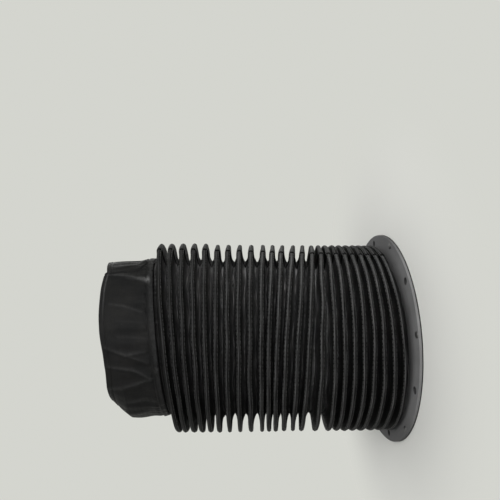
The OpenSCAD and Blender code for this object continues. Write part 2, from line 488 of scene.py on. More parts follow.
def creases(along, depth, seed):
    """Height of the slanting creases: each is a ridge with a groove beside it, along a short line that
    drifts along the cloth, and fades at its ends. depth is how free the cloth is."""
    rng = np.random.default_rng(seed)
    total = np.zeros((len(along), len(FROM_SEAM)))
    for _ in range(CREASES_EACH):
        reach = rng.uniform(*CREASE_REACH)
        off = (FROM_SEAM - rng.uniform(0, tau) + pi) % tau - pi
        line = rng.uniform(along[0], along[-1]) + off * rng.uniform(-CREASE_DRIFT, CREASE_DRIFT)
        away = (along[:, None] - line) / (rng.uniform(*CREASE_WIDE) * MM)
        end = np.clip(1 - np.abs(off) / reach, 0, 1)
        total += rng.uniform(*CREASE_HIGH) * MM * end * (bell(away, 1) - 0.7 * bell(away - 1.6, 1))
    return total * depth


def tucks(along, depth, seed):
    """Short ridges where the lapped cloth was pushed into the fold. Each fades in at its reach below
    the seam, in degrees, and out at the seam."""
    rng = np.random.default_rng(seed)
    below = np.degrees(FROM_SEAM) - 360
    total = np.zeros((len(along), len(FROM_SEAM)))
    for reach in TUCK_REACH:
        line = along[-1] * rng.uniform(0.30, 0.70) - below * rng.uniform(-0.10, 0.10) * MM
        ends = smooth((below + reach) / (0.7 * reach)) * smooth((-1.2 - below) / 2.5)
        total += TUCK_HIGH * bell(along[:, None] - line, TUCK_WIDE) * ends
    return total * depth


def gathers(depth, seed):
    """Fine waves round the tube, in patches, that grow with the cube of depth."""
    fine = ripple(FROM_SEAM, 55, 120, GATHER_HIGH, seed, 14)
    patch = 0.55 + 0.45 * np.sin(ripple(FROM_SEAM, 2, 9, 1.6, seed + 1))
    return fine * patch * depth ** 3


def lap_seam():
    """Height of the seam's upper layer, which falls away further round."""
    return SEAM_LIFT * (1 - smooth(FROM_SEAM / SEAM_FALL)) * (FROM_SEAM > radians(0.1))


print(CREASES_EACH, "creases and", len(TUCK_REACH), "tucks for each pleat")

# %% [markdown]
# ## From a grid to a sheet of cloth
#
# Real cloth has two sides and cut edges, so the grid gets a coarser one a cloth's thickness behind
# it, and their edges are joined. Each point also keeps how deep it lies, and the valleys are painted
# paler by it, most of all near the seam: dust together with painted light where the folds shade.

# %% Cloth of one pleat
CLOTH_T = 0.6 * MM
INNER_EACH, INNER_UV = 4, 0.003
# How much paler the valleys are painted below the seam, dust and painted light together, and over how
# many degrees.
SEAM_DUST_AND_LIGHT, SEAM_DUST_AND_LIGHT_WIDE = 0.9, 34
HIGH_CREASE = 0.7 * MM


def closed_cloth(name, points, relief, lift, along, crest_mark, tops, dust_and_light=1.0):
    """A sheet with two sides: the outer grid, raised by relief and lift, and a coarser inner one. At
    the rows in tops it faces straight out. The "crest" mark is the given crest line and what raised
    creases add, rub and painted highlight together. "deep" goes from 0 at the crests to the last
    argument in the valley, and to more near the seam; the valleys are painted paler by it, dust and
    painted light together. The "seam" mark is a painted shadow along the lap's edge."""
    facing = outward(points)
    for row in tops:
        facing[row] = unit(points[row] - points[row].mean(0))
    # Raised creases get the pale crest grey too: rub and painted highlight.
    crest = np.clip(crest_mark + CREASE_PALE * smooth(relief / HIGH_CREASE), 0, 1)
    from_axis = np.linalg.norm(points - points.mean(1)[:, None], axis=-1)
    deep = np.clip((CREST_R - from_axis) / (CREST_R - VALLEY_R), 0, 1)
    # A painted shadow along the lap's edge, fainter in the valleys.
    seam = SEAM_SHADE * (1 - 0.7 * deep)
    # Below the seam the valleys are painted paler still: dust and painted light.
    deep = deep * dust_and_light * (1 + SEAM_DUST_AND_LIGHT * bell(BELOW_SEAM, SEAM_DUST_AND_LIGHT_WIDE))
    outside = points + facing * (relief + lift)[..., None]
    picked = np.unique(np.append(np.arange(0, len(points), INNER_EACH), len(points) - 1))[::-1]
    inside = (points + facing * (relief - CLOTH_T)[..., None])[picked]
    marks = {"crest": crest, "seam": seam, "deep": deep}
    last = len(points)
    piece = grid_mesh(name, np.concatenate([outside, inside]), ROUND_M,
                      np.concatenate([along, along[picked] + INNER_UV]),
                      {mark: np.concatenate([m, 0 * m[picked]]) for mark, m in marks.items()},
                      sharp_rows=[0, last - 1, last, last + len(picked) - 1])
    return piece, outside, facing


def cloth_length(points):
    """Distance along the cloth at each row, averaged round the tube."""
    return np.append(0, np.cumsum(np.linalg.norm(np.diff(points, axis=0), axis=-1).mean(1)))


print("cloth", CLOTH_T / MM, "mm thick")

# %% Pleats
UV_PITCH, FOOT_UV, NECK_UV, CUFF_UV = 0.043, 1.1, 1.2, 1.4  # where a piece starts on the UV map
VALLEY_SWAY, MIDDLE_SWAY = 0.45 * MM, 0.035
ROOMY, LEAST_ROOM = 3.5 * MM, 0.12


def pleat_points(lower, upper, number):
    """The grid of one pleat, how close each row is to a crest, and how pale its crest line is, rub and
    painted highlight together. The half section is used from the lower ring and, turned round,
    from the upper one."""
    seed = 500 + 10 * number
    valley = VALLEY_R + ripple(FROM_SEAM, 3, 16, VALLEY_SWAY, seed)
    middle = 0.5 + ripple(FROM_SEAM, 2, 9, MIDDLE_SWAY, seed + 1)
    climb = half_section(valley)
    down = climb[-2::-1]
    shares = []
    for a, s, r in climb:
        past = a / pitch(lower, upper, r)
        shares.append(past + s * (middle - past))
    for a, s, r in down:
        past = a / pitch(lower, upper, r)
        shares.append(1 - past - s * (1 - middle - past))
    _, to_middle, radii = zip(*climb, *down)
    points = np.array([between(lower, upper, share, r) for share, r in zip(shares, radii)])
    near = 1 - np.array(to_middle)[:, None]
    crest_mark = [rub_and_highlight(a, number) for a, _, _ in climb] + [rub_and_highlight(-a, number + 1) for a, _, _ in down]
    low, high = crest_sway(number), crest_sway(number + 1)
    weight = smooth(np.array(shares))[..., None]
    points = points + (1 - weight) * (low[0] * spokes(lower) + low[1] * lower[1])
    points = points + weight * (high[0] * spokes(upper) + high[1] * upper[1])
    return points, near, np.array(crest_mark)


def make_pleat(number):
    """The pleat from ring number to the next one. The wider its gap, the higher its creases."""
    points, near, crest_mark = pleat_points(rings[number], rings[number + 1], number)
    along = cloth_length(points)
    gap = pitch(rings[number], rings[number + 1], WIRE_R * EVEN)
    room = np.clip((gap - 2 * CREST_H) / ROOMY, LEAST_ROOM, 1)
    depth = smooth(1.25 * (1 - near)) * room
    relief = creases(along, depth, 900 + number) + gathers(1 - near, 1300 + number) * room
    relief = relief + tucks(along, depth, 1700 + number)
    return closed_cloth(f"pleat_{number + 1:02d}", points, relief, lap_seam(),
                        along + UV_PITCH * number, crest_mark, (0, -1))


pleats = [make_pleat(k) for k in range(FOLDS - 1)]
print(len(pleats), "pleats of", len(pleats[0][0].data.polygons), "faces")

# %% [markdown]
# ## The two ends of the tube
#
# The tube starts inside the plate's bore and runs out to the first crest. At the other end it runs in
# from the last crest, puffs out a little under the cuff's skirt, and is gathered and sewn. Both ends
# are the same kind of grid with half a pleat in it.

# %% Stations at the ends
FLANGE_TOP = float(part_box("flange_plate")[1][2])
FOOT_R, FOOT_Z, PLATE_CLEAR = 77.1 * MM, 0.8 * MM, 0.4 * MM
NECK_R, NECK_RISE, BAND_W = 77.07 * MM, 7.15 * MM, 6.0 * MM
PINCH, PINCH_WIDE = 3.0 * MM, 52


def flat_station(height, like):
    """A level station at a height on the tube's leaning centre line, which starts at the origin."""
    return np.stack([like[0] / like[0][2] * height, UP, X, Y])


def neck_pinch(turn):
    """How far the gathered neck is drawn in at an angle: most on the side opposite +X."""
    return PINCH * bell(np.degrees(turn) % 360 - 180, PINCH_WIDE)


neck_station = top_ring.copy()
neck_station[0] += top_ring[0] / top_ring[0][2] * NECK_RISE
band_top = neck_station.copy()
band_top[0] += neck_station[1] * BAND_W
print("neck at", np.round(neck_station[0] / MM, 2), "mm")

# %% Foot and neck of the tube
NECK_PUFF, PUFF_FROM = 2.7 * MM, 0.6


def end_grid(rows, ring, number):
    """Stacks rows of (points, how near the crest, how pale), which sway with the crest of a ring."""
    points, near, crest_mark = (np.array(part) for part in zip(*rows))
    near = near[:, None]
    out, side = crest_sway(number)
    points = points + smooth(near)[..., None] * (out * spokes(ring) + side * ring[1])
    return points, near, crest_mark


def make_foot():
    """From the gasket up through the plate's bore, out along the plate and round the first wire."""
    top = rings[0]
    base = flat_station(FLANGE_TOP + PLATE_CLEAR, top)
    rows = [(between(flat_station(z, top), top, 0 * EVEN, FOOT_R * EVEN), 0.0, 0 * EVEN)
            for z in (FOOT_Z, FLANGE_TOP * 0.6, FLANGE_TOP + PLATE_CLEAR * 0.7)]
    for t in np.linspace(0.12, 1, 9):
        r = (FOOT_R + (WIRE_R - FOOT_R) * t) * EVEN
        share = (1 - CREST_H / pitch(base, top, r)) * t ** 1.6
        rows.append((between(base, top, share, r), 0.9 * t, 0 * EVEN))
    for a in CREST_TURN[::-1]:
        r = crest_radius(a) * EVEN
        off = CREST_H * sin(a)
        rows.append((between(base, top, 1 - off / pitch(base, top, r), r), 1.0, rub_and_highlight(-off, 0)))
    points, near, crest_mark = end_grid(rows, top, 0)
    along = cloth_length(points)
    count = np.arange(len(rows))[:, None]
    free = smooth(np.minimum(4 * count / len(rows), 1.4 * (1 - near)))
    relief = creases(along, free, 880) * 0.6
    lift = lap_seam() * smooth((count - 3) / 4)
    return closed_cloth("tube_foot", points, relief, lift, along + FOOT_UV, crest_mark, (-1,))


def make_neck():
    """Round the last wire, in to the neck with a puff of slack cloth, and up inside the cuff."""
    low, high = top_ring, neck_station
    neck_r = NECK_R - neck_pinch(FROM_SEAM + seam_angle(top_ring[0][2]))
    rows = []
    for a in CREST_TURN:
        off = CREST_H * sin(a)
        points = between(low, high, off / NECK_RISE * EVEN, crest_radius(a) * EVEN)
        rows.append((points, 1.0, rub_and_highlight(off, FOLDS - 1)))
    for t in np.linspace(0.06, 1, 18):
        drop = sin(t * pi / 2)
        rise = CREST_H + (NECK_RISE - CREST_H) * (1 - cos(t * pi / 2)) ** 0.9
        late = max(0, (t - PUFF_FROM) / (1 - PUFF_FROM))
        puff = NECK_PUFF * max(0, sin(pi * late)) ** 0.5
        points = between(low, high, rise / NECK_RISE * EVEN, WIRE_R + (neck_r - WIRE_R) * drop + puff)
        rows.append((points, 1 - t, 0 * EVEN))
    for t in (0.3, 0.65, 1.0):
        rows.append((between(high, band_top, t * EVEN, neck_r), 0.0, 0 * EVEN))
    points, near, crest_mark = end_grid(rows, low, FOLDS - 1)
    along = cloth_length(points)
    still = np.append(np.ones(len(rows) - 5), [0.6, 0.2, 0, 0, 0])[:, None]
    free = smooth(1.3 * (1 - near)) * still
    relief = creases(along, free, 990) * 0.5
    relief = relief + ripple(FROM_SEAM, 60, 110, 0.14 * MM, 991, 12) * free
    lift = lap_seam() * still
    return closed_cloth("tube_neck", points, relief, lift, along + NECK_UV, crest_mark, (0,), dust_and_light=0.4)


foot, neck = make_foot(), make_neck()
print("foot", len(foot[0].data.polygons), "faces, neck", len(neck[0].data.polygons))

# %% [markdown]
# ## The cuff
#
# The cuff is a loose sleeve of doubled cloth that a hose clamp holds on a round spigot. Here nothing
# holds it open, so long pulls run from the sewn neck towards the rim, it sags in on one side, and its
# lower edge hangs over the band as a short skirt. Each pull is a line of (angle, height) points, along
# which the cloth rises as a soft ridge. A simulation of cloth would give folds too, but not these.

# %% Cuff sizes and lines
CUFF_R, CUFF_LEN, CUFF_T = 79.0 * MM, 48.0 * MM, 1.2 * MM
CUFF_TOP = float(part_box("cuff_sleeve")[1][2])
SAG, SAG_WIDE, TAPER = 19.5, 44, 3
SAG_FROM, BULGE, NECK_PUFFED, LAP_STEP, LAP_GROOVE = 0.60, 1.2, 1.5, 1.1, -0.5
SKIRT, OVER_BAND = 6.0, 1.7
SEAM_STEP = -39.5
PULLS = [  # ridge height and half width in mm, then angles in degrees and heights above the neck in mm
    (1.1, 3.2, -41.5, 46, -43.5, 26, -46.5, 7), (0.8, 1.5, -46.8, 22, -47.8, 13, -49.0, 4),
    (0.9, 2.2, -68.5, 38, -70, 24, -74, 6), (0.35, 1.6, -80, 30, -81, 5),
    (0.45, 1.8, -90.5, 30, -91, 5), (1.0, 2.3, -97.7, 43, -102.5, 24, -99.7, 5),
    (0.7, 1.9, -102.5, 24, -107, 4), (1.1, 2.4, -111, 42, -112.7, 18, -118.3, 2),
    (1.2, 2.6, -130, 42, -123.7, 18, -118.3, 2), (0.9, 3.0, -142, 30, -136, 10),
    (0.9, 3.0, -160, 34, -152, 6), (1.0, 3.0, 176, 30, 170, 4), (0.9, 2.6, 150, 40, 154, 5),
    (1.0, 2.4, 128, 36, 121, 18, 124, 4), (1.0, 2.6, 96, 42, 101, 16, 98, 3),
    (0.8, 2.2, 70, 32, 73, 5), (1.0, 2.4, 44, 40, 50, 18, 47, 3), (0.9, 2.6, 18, 34, 14, 6),
    (0.8, 2.8, -8, 40, -12, 20, -10, 4), (0.9, 2.4, -34, 30, -30, 14, -24, 5)]
RIM = [  # angle in degrees, how far the rim lies below its highest point in mm
    (-180, 5.6), (-150, 4.6), (-135, 4.2), (-115, 5.4), (-100, 4.0), (-90, 1.6), (-76, 0.4),
    (-55, 0.7), (-45, 1.6), (-40.6, 2.6), (-39.2, 5.0), (-30, 3.2), (-20, 1.8), (-8, 0.4), (30, 0.2),
    (90, 1.4), (140, 3.6), (180, 5.6)]


def half_turn(degrees):
    """An angle brought to -180..180 degrees."""
    return (degrees + 180) % 360 - 180


def line_distance(u, v, points):
    """Signed distance from each (u, v) to the nearest piece of a bent line, and the share of the way
    along the line."""
    best = np.full(u.shape, 1e9)
    side, share = np.zeros_like(u), np.zeros_like(u)
    for n, ((ua, va), (ub, vb)) in enumerate(zip(points[:-1], points[1:])):
        du, dv = ub - ua, vb - va
        t = np.clip(((u - ua) * du + (v - va) * dv) / (du * du + dv * dv), 0, 1)
        away = np.hypot(u - ua - t * du, v - va - t * dv)
        closer = away < best
        best = np.where(closer, away, best)
        side = np.where(closer, np.sign((u - ua) * dv - (v - va) * du), side)
        share = np.where(closer, (n + t) / (len(points) - 1), share)
    return best * side, share


def pull_ridges(angle, height, sharp=1):
    """All the pulls' ridges: a bell across the line that is narrower on one side and swells in its
    middle. sharp narrows it."""
    total = np.zeros_like(height)
    for rise, wide, first, *rest in PULLS:
        points = zip([first, *rest[1::2]], rest[::2])
        line = [(radians(half_turn(a - first)) * CUFF_R / MM, h) for a, h in points]
        around = np.radians(half_turn(angle - first)) * CUFF_R / MM
        away, share = line_distance(around, height, line)
        across = np.where(away > 0, away / wide, away / (1.9 * wide))
        swell = 0.25 + 0.75 * np.sin(pi * (0.12 + 0.76 * share))
        total += rise * np.exp(-sharp * across ** 2) * swell
    return total


def seam_wedge(angle, height):
    """A painted highlight on the cuff's lap: a thin line below the seam that widens to a wedge at the
    neck.
    """
    middle = -48.3 + 0.15 * height
    wide = np.interp(height, [-2, 4, 12, 20], [2.6, 1.8, 1.0, 0.6])
    strength = np.interp(height, [-3.6, -2.2, 3, 10, 16, 34, 38], [0, 1, 0.60, 0.22, 0.14, 0.11, 0])
    return strength * bell(angle - middle, wide)


def cuff_seam(height):
    """The lap's angle in degrees: straight along the rim half, then swinging to the tube's seam."""
    return SEAM_STEP + 19 * np.exp(-height / 4.5) + 1.2 * np.sin(height / 9)


def rim_fall(angle):
    """The RIM line, rounded by averaging it over nine degrees away from the seam's step."""
    steps = np.linspace(-4.5, 4.5, 13)
    near_step = smooth((abs(angle + 40) - 2) / 5)
    places, falls = zip(*RIM)
    return np.interp(half_turn(angle + steps[:, None] * near_step), places, falls).mean(0)


print(len(PULLS), "pulls")

# %% Cuff shape
def cuff_radius(angle, height, t):
    """Radius in mm: the CAD sleeve's taper, slack side and bulges, then the puff above the band, the
    skirt, fine gathers that die out towards the rim, the pulls, and the seam's upper layer."""
    turn = np.radians(angle)
    sag = SAG * np.clip((t - SAG_FROM) / (1 - SAG_FROM), 0, 1) ** 1.15 * bell(angle % 360 - 180, SAG_WIDE)
    bulge = BULGE * np.sin(pi * np.maximum(t, 0)) * np.cos(3 * turn)
    r = CUFF_R / MM - TAPER * t ** 3 - sag - bulge + NECK_PUFFED * bell(height - 2.5, 5.5)
    r = r - neck_pinch(turn) / MM * (1 - smooth(height / 24))
    gather = ripple(turn, 46, 96, 0.20, 71, 16) * np.exp(-height / 7)
    gather = gather + ripple(turn, 14, 38, 0.22, 72, 10)
    r = r + gather * smooth(height / 2.5) * smooth((46 - height) / 20)
    r = r + pull_ridges(angle, height) * smooth(height / 3) + OVER_BAND * smooth((0.6 - height) / 1.4)
    r = r + ripple(turn, 24, 60, 0.16, 73, 10) * smooth(-height / 3)
    past = half_turn(angle - cuff_seam(height))
    flap = np.where(past > 0, LAP_STEP * (1 - smooth((past - 9) / 16)), 0)
    groove = LAP_GROOVE * bell(past + 0.3, 0.8) * smooth(height / 6)
    return r + (flap + groove) * smooth(height / 2)


def cuff_station(t):
    """Centres and two side directions of the sleeve at shares t of its height: the neck's tilt eases
    to level, and below 0 they keep to the band's axis."""
    line = top_ring[0] / top_ring[0][2]
    above, below = np.maximum(t, 0)[:, None], np.minimum(t, 0)[:, None]
    centre = band_top[0] + above * (line * CUFF_TOP - band_top[0]) + below * CUFF_LEN * band_top[1]
    return centre, *(unit((1 - above) * top_ring[k] + above * level) for k, level in ((2, X), (3, Y)))


across = cuff_radius(np.array([0.0, 180.0]), np.array([40.0, 40.0]), np.array([0.8, 0.8]))
print("cuff's radius near the rim, at +X and at -X, in mm", np.round(across, 1))

# %% Cuff mesh
CUFF_COLUMNS, CUFF_ROWS, SKIRT_ROWS = 640, 96, 8
SEAM_EXTRA = np.linspace(-1.6, 1.6, 17) + SEAM_STEP
INNER_FROM, INNER_STEP = 10, -3
ROLL = ((0.12, 0.45), (0.5, 0.75), (0.88, 0.45))  # share of the way inwards, rise in mm
BASE = ((-CUFF_T / MM, -6), (0, -6), (0, 0.1), (1.5, 0.1), (1.6, -5.4))  # out and up in mm
# How much of the pale grey is painted on the cuff: a highlight along the hem line, the rolled rim, partly
# wear, and highlights on the pulls' ridges.
HEM_LINE, ROLL_PALE, RIDGE_PALE = 0.42, 0.26, 0.13


def make_cuff():
    """One closed grid: the outer sheet from the skirt up to the rim, a rolled hem, the inner sheet
    back down, and the base round the band and up under the skirt."""
    angle = np.linspace(-180, 180, CUFF_COLUMNS, endpoint=False)
    angle = np.sort(np.append(angle, SEAM_EXTRA))
    t = np.append(np.linspace(-SKIRT * MM / CUFF_LEN, 0, SKIRT_ROWS, endpoint=False),
                  np.linspace(0, 1, CUFF_ROWS))
    rim = 1 - rim_fall(angle) / (CUFF_LEN / MM)
    grid_t = t[:, None] * rim
    a = np.repeat(angle[None, :], len(t), 0)
    height = grid_t * CUFF_LEN / MM
    over_rim = height - (CUFF_LEN / MM) * rim
    hem = 0.35 * smooth((over_rim + 4.4) / 0.8) - 0.45 * bell(over_rim + 4.6, 0.5)
    outer = (cuff_radius(a, height, grid_t) + hem) * MM
    centre, side, other = cuff_station(grid_t.reshape(-1))
    turn = np.radians(a).reshape(-1)[:, None]
    spoke = unit(np.cos(turn) * side + np.sin(turn) * other).reshape(*a.shape, 3)
    centre = centre.reshape(*a.shape, 3)
    outside = centre + outer[..., None] * spoke
    inside = (centre + (outer - CUFF_T)[..., None] * spoke)[:INNER_FROM:INNER_STEP]
    roll = [outside[-1] + (inside[0] - outside[-1]) * share + UP * rise * MM for share, rise in ROLL]
    drawn_in = neck_pinch(np.radians(angle))[:, None]
    base = [band_top[0] + (CUFF_R + out * MM - drawn_in) * spoke[SKIRT_ROWS] + top_ring[1] * rise * MM
            for out, rise in BASE]
    points = np.concatenate([outside, roll, inside, base])
    # Painted highlights: the crest mark is raised along the pulls' ridges and in the lap's wedge.
    crest_mark = RIDGE_PALE * np.clip(pull_ridges(a, height, 6), 0, 1) + seam_wedge(a, height)
    # Painted light on the skirt's lower edge, where it lies in shade.
    crest_mark = crest_mark + RIDGE_PALE * smooth((-0.5 - height) / 2.5)
    seam_side = smooth((a + 84) / 34) * smooth((-39 - a) / 3)
    # The hem line below the rim is a painted highlight.
    crest_mark = np.clip(crest_mark + HEM_LINE * bell(-over_rim - 3.4, 0.7) * seam_side, 0, 1)
    hidden = np.zeros((len(inside) + len(base), len(angle)))
    # The rolled rim is pale all round: partly wear, partly painted highlight.
    crest_mark = np.concatenate([crest_mark, np.full((len(roll), len(angle)), ROLL_PALE), hidden])
    return grid_mesh("cuff_cloth", points, np.radians(angle + 180) * CUFF_R,
                     cloth_length(points) + CUFF_UV, {"crest": crest_mark})


cuff = make_cuff()
print("cuff", len(cuff.data.polygons), "faces")

# %% [markdown]
# ## Neck band
#
# A woven tape is sewn round the joint of tube and cuff, under the skirt: a flat ring with rounded
# edges that follows the gathers under it.

# %% Band
BAND_T = 1.0 * MM
BAND_COLUMNS, BAND_ROWS, SQUARED = 720, 28, 0.55


def squared_off(wave):
    """A sine or cosine pressed towards -1 and 1, which makes an ellipse a rounded rectangle."""
    return np.sign(wave) * np.abs(wave) ** SQUARED


def make_band():
    """A rounded rectangle carried round the neck, whose radius ripples with the gathers."""
    turn = full_circle(BAND_COLUMNS)
    section = full_circle(BAND_ROWS)
    middle = neck_station[0] + neck_station[1] * BAND_W / 2
    spoke = np.cos(turn)[:, None] * neck_station[2] + np.sin(turn)[:, None] * neck_station[3]
    radius = CUFF_R + 0.3 * MM + BAND_T / 2 + ripple(turn, 30, 80, 0.05 * MM, 61) - neck_pinch(turn)
    height = (0.5 * BAND_W - 0.1 * MM) * squared_off(np.sin(section))[:, None]
    height = height + ripple(turn, 3, 12, 0.12 * MM, 62)
    out = radius + 0.5 * BAND_T * squared_off(np.cos(section))[:, None]
    points = middle + out[..., None] * spoke + height[..., None] * neck_station[1]
    return grid_mesh("neck_tape", points, turn * CUFF_R, cloth_length(points))


band = make_band()
print("band", len(band.data.polygons), "faces")

# %% [markdown]
# ## Soft flange
#
# Under the grey plate lies a flat ring of the tube's own cloth, which seals against the machine. Its
# holes are cut with Booleans that are applied at once, so that no modifier is left live.

# %% Soft flange
BOLTS, BOLT_CIRCLE_R, BOLT_HOLE_R = 6, 98 * MM, 3.2 * MM
RIVET_R, RIVET_HOLE_R = float(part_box("flange_rivets")[1][1]) - 3.2 * MM, 1.65 * MM
GASKET_COLUMNS, HOLE_SIDES, PAST = 360, 24, 1 * MM


def hole_pins(places, radius, low, high):
    """One mesh of closed pins to cut holes with: a circle of points at each place, low and high."""
    circle = on_circle(radius, full_circle(HOLE_SIDES))
    points = [(x, y, z) for place in places for z in (low, high) for x, y in circle + place]
    faces = []
    for start in range(0, len(points), 2 * HOLE_SIDES):
        under = list(range(start, start + HOLE_SIDES))
        faces += [under[::-1], [i + HOLE_SIDES for i in under]]
        faces += [[i, j, j + HOLE_SIDES, i + HOLE_SIDES] for i, j in zip(under, under[1:] + under[:1])]
    mesh = bpy.data.meshes.new("pins")
    mesh.from_pydata(points, [], faces)
    return placed("pins", mesh)


def apply_modifiers(piece):
    """Swaps the piece's mesh for what its modifiers make of it, so that none is left live."""
    view = bpy.context.evaluated_depsgraph_get()
    mesh = bpy.data.meshes.new_from_object(piece.evaluated_get(view))
    piece.modifiers.clear()
    piece.data = mesh


def make_gasket():
    """A flat ring with slightly rounded edges, which is a section of eight points carried round the
    axis, cut by pins at the bolts and at the rivets between them."""
    near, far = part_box("fabric_flange")
    low, high = near[2], far[2]
    inner_r, outer_r, soft = FOOT_R - 3 * CLOTH_T, (far[0] - near[0]) / 2, 0.22 * (high - low)
    section = np.array([[inner_r + soft, low], [outer_r - soft, low], [outer_r, low + soft],
                        [outer_r, high - soft], [outer_r - soft, high], [inner_r + soft, high],
                        [inner_r, high - soft], [inner_r, low + soft]])
    turn, r, z = full_circle(GASKET_COLUMNS), section[:, :1], section[:, 1:]
    points = np.stack([r * np.cos(turn), r * np.sin(turn), z + 0 * turn], -1)
    gasket = grid_mesh("soft_flange", points, turn * outer_r, cloth_length(points))
    bolts = np.radians(np.arange(0, 360, 360 // BOLTS))
    for angles, circle_r, hole_r in ((bolts, BOLT_CIRCLE_R, BOLT_HOLE_R),
                                     (bolts + pi / BOLTS, RIVET_R, RIVET_HOLE_R)):
        pins = hole_pins(on_circle(circle_r, angles), hole_r, low - PAST, high + PAST)
        cut = gasket.modifiers.new("holes", "BOOLEAN")
        cut.operation, cut.solver, cut.object = "DIFFERENCE", "EXACT", pins
        apply_modifiers(gasket)
        bpy.data.objects.remove(pins)
    return gasket


gasket = make_gasket()
print("soft flange", len(gasket.data.polygons), "faces, rivet circle", round(RIVET_R / MM, 1), "mm")

# %% [markdown]
# ## Stitches
#
# A row of stitches on each side holds the wire. A stitch is a short dash of thread on the cloth, so
# every row is worked out from the points of its pleat and follows its shape.

# %% Stitches on the pleats
STITCH_STEP, STITCH_LONG = 2.3 * MM, 1.5 * MM
STITCH_WIDE, STITCH_HIGH = 0.45 * MM, 0.26 * MM
STITCH_DEPTH, STITCH_SUNK, STITCH_TOP = 1.7 * MM, -0.3, 0.55
BOX = np.array([[3, 2, 1, 0], [4, 5, 6, 7], [0, 1, 5, 4], [1, 2, 6, 5], [2, 3, 7, 6], [3, 0, 4, 7]])
THREAD_UV = [[0, 0], [0.002, 0], [0.002, 0.0005], [0, 0.0005]]


def stitch_row(surface, facing, columns):
    """Dashes along one line of cloth points: each is a box with a narrower top."""
    along = unit(np.roll(surface, -1, 0) - np.roll(surface, 1, 0))
    base, tangent, out = surface[columns], along[columns], facing[columns]
    side = np.cross(out, tangent)
    corners = []
    for high, shrink in ((STITCH_SUNK, 1.0), (1.0, STITCH_TOP)):
        for end, flank in ((-1, -1), (1, -1), (1, 1), (-1, 1)):
            corners.append(base + tangent * end * STITCH_LONG / 2 * (shrink * 0.4 + 0.6)
                           + side * flank * STITCH_WIDE / 2 * shrink + out * high * STITCH_HIGH)
    return np.stack(corners, 1).reshape(-1, 3)


def pleat_threads(number, cloth):
    """A row of stitches beside each crest of a pleat, STITCH_DEPTH of cloth away from its top."""
    _, surface, facing = cloth
    down = cloth_length(surface)
    rows = [int(np.argmin(abs(down - STITCH_DEPTH))),
            int(np.argmin(abs(down[-1] - down - STITCH_DEPTH)))]
    count = int(tau * WIRE_R / STITCH_STEP)
    columns = np.unique(np.round(np.linspace(0, len(FROM_SEAM) - 1, count)).astype(int))
    points = np.concatenate([stitch_row(surface[row], facing[row], columns) for row in rows])
    faces = (np.arange(len(points) // 8) * 8)[:, None, None] + BOX[None]
    uv = np.tile(THREAD_UV, (faces.size // 4, 1))
    return cloth_piece(f"thread_{number:02d}", points, faces, uv)


threads = [pleat_threads(n + 1, cloth) for n, cloth in enumerate(pleats)]
print(len(threads), "threads of", len(threads[0].data.polygons), "faces")

# %% [markdown]
# ## Finishes
#
# The tube is polyester cloth with a black coating that fills the weave, which shows only as a faint
# relief under a semi-matte skin. All cloth finishes share one recipe: a weave from the piece's own UV
# map, a grain, soft dents, and a pale line that follows the "crest" attribute, which is rub and a
# painted highlight together and is painted dimmer towards the cuff. The "deep" attribute paints the
# valleys paler, dust together with painted light, and a shadow is painted dark along the lap's edge.
# Metal takes its patterns from its own place.

# %% Pattern helpers
def noise(tree, place, scale, detail=2.0, rough=0.5):
    """A noise pattern's value, about 1/scale metres from one patch to the next."""
    return add(tree, "TexNoise", place, Scale=scale, Detail=detail, Roughness=rough, out="Fac")


def spread(tree, value, low, high, to_low, to_high):
    """Maps a value from low..high to to_low..to_high, and holds it at the ends."""
    return add(tree, "MapRange", value, low, high, to_low, to_high)


def blended(tree, share, first, second):
    """A colour that goes from first to second with share. A Mix node's colours are inputs 6 and 7."""
    return add(tree, "Mix", share, *[None] * 5, first, second, out=2, data_type="RGBA")


def scaled(tree, colour, factor):
    """A colour times a value."""
    return add(tree, "VectorMath", colour, operation="SCALE", Scale=factor)


def relief(tree, layers):
    """A chain of bumps from (height value, depth in metres, strength), the broadest first."""
    normal = None
    for height, depth, strength in layers:
        normal = add(tree, "Bump", Distance=depth, Strength=strength, Height=height, Normal=normal)
    return normal


def grey(level, warm=0.0):
    """A neutral colour at a linear level, a little warm or cool."""
    return (level * (1 + warm), level, level * (1 - warm), 1.0)


def own(tree, what):
    """The place on the piece itself, its cloth UV map, or one of its marks."""
    if what == "place":
        return add(tree, "TexCoord", out="Object")
    if what == "cloth":
        return add(tree, "UVMap", uv_map="cloth", out="UV")
    return add(tree, "Attribute", attribute_name=what, out="Fac")


def new_finish(name):
    """A material and its empty node tree."""
    material = bpy.data.materials.new(name)
    return material, empty_tree(material)


def finish_off(material, **inputs):
    """The shader and the output, with a value or a link for each of the shader's named inputs."""
    tree = material.node_tree
    add(tree, "OutputMaterial", add(tree, "BsdfPrincipled", **inputs))
    print("finish", material.name)
    return material


print("pattern helpers ready")

# %% Cloth finish
# How much paler the valleys are painted, dust together with painted light, and how much brighter creases
# are painted there, a painted highlight.
DEEPEST, VALLEY_DUST_AND_LIGHT, VALLEY_CREASE_HIGHLIGHT = 1.9, 13.0, 4.8
# Heights over which the crest line is painted dimmer towards the cuff, painted shade, and its share
# there.
CREST_DIM_FROM, CREST_DIM_TO, CREST_DIM_SHARE = 0.12, 0.22, 0.4
# The first grey is the painted shadow along the lap's edge.
SEAM_SHADOW_GREY, FLECK_LEVEL, FLECK_MOST = 0.002, 0.04, 0.5
DUST_PATCHES, GRAINS, STREAKS, WORN_PATCHES, DENTS = 42, 620, 800, 330, 120  # to a metre
BANDS_PER_METRE = pi / 10  # a wave texture's scale for one band per metre


def weave_height(tree, uv, thread):
    """Plain weave, threads a given distance apart: the higher of two crossing sets of bands counts."""
    heights = [add(tree, "TexWave", uv, BANDS_PER_METRE / thread, Distortion=0.6, Detail=1.0,
                   wave_type="BANDS", bands_direction=axis, out="Fac") for axis in ("X", "Y")]
    return calc(tree, "MAXIMUM", *heights)


